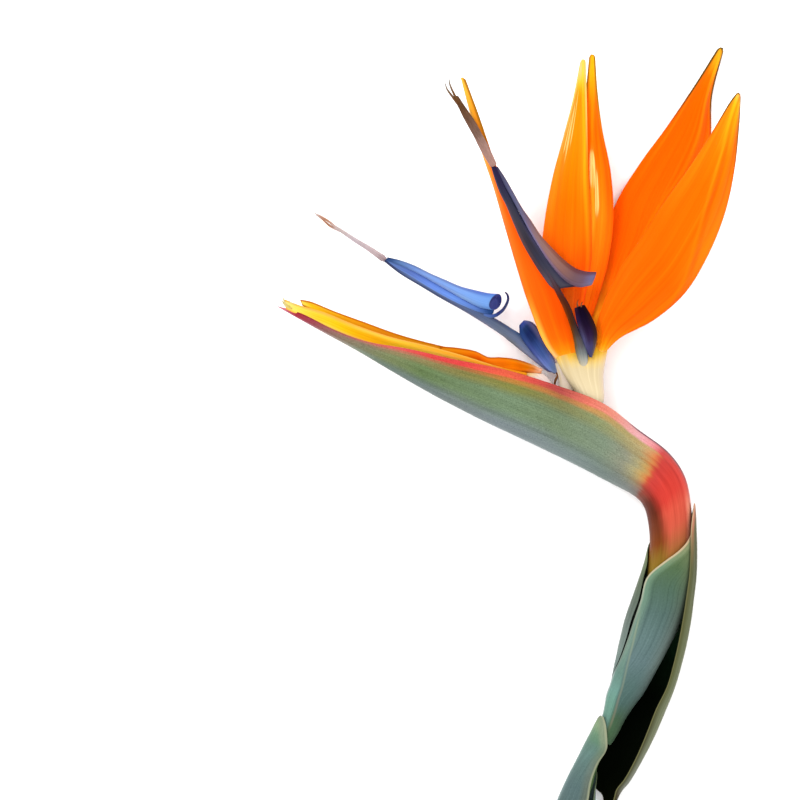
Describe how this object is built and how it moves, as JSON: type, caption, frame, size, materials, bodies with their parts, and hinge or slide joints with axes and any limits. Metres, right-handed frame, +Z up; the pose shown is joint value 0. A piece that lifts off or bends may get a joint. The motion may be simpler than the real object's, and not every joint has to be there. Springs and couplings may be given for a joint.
{
  "type": "bird of paradise flower",
  "caption": "Cut bird of paradise flower lying on its side: green beak with red lips, orange sepals, blue and purple arrow petals, sheathed stalk.",
  "frame": {"origin": "on the surface that the flower lies on, under the middle of the flower's bounding box", "axes": "+Z up from that surface, +Y from the cut end of the stalk towards the sepals' tips, and the beak points towards -X"},
  "size_m": [0.1671, 0.3212, 0.0373],
  "materials": {
    "spathe": "waxy green bract with red lips and a red neck",
    "stem": "smooth green stalk",
    "sheath": "blue-green bract with a waxy bloom",
    "split_sheath": "olive rim, dark inside",
    "flower_base": "cream, moist",
    "sepal": "waxy orange petal, yellow at the tip and foot",
    "bud_sepal": "yellow and orange folded sepals",
    "blue_petal": "blue petal with dark edges",
    "purple_petal": "dark slate purple petal",
    "filament": "pale to brown threads"
  },
  "bodies": {
    "root": {"spathe": "spathe", "stem": "stem", "upper_sheath": "sheath", "split_sheath": "split_sheath", "lower_sheath": "sheath", "first_base": "flower_base", "second_base": "flower_base", "third_base": "flower_base", "first_sepal_left": "sepal", "first_sepal_right": "sepal", "first_sepal_rear": "sepal", "second_sepal_right": "sepal", "second_sepal_rear": "sepal", "second_sepal_left": "sepal", "third_sepal_near": "bud_sepal", "third_sepal_far": "bud_sepal", "third_sepal_crest": "bud_sepal", "first_arrow": "blue_petal", "first_hood": "blue_petal", "second_arrow": "purple_petal", "second_hood": "purple_petal", "first_stigma": "filament", "second_stigma": "filament"}
  },
  "joints": []
}
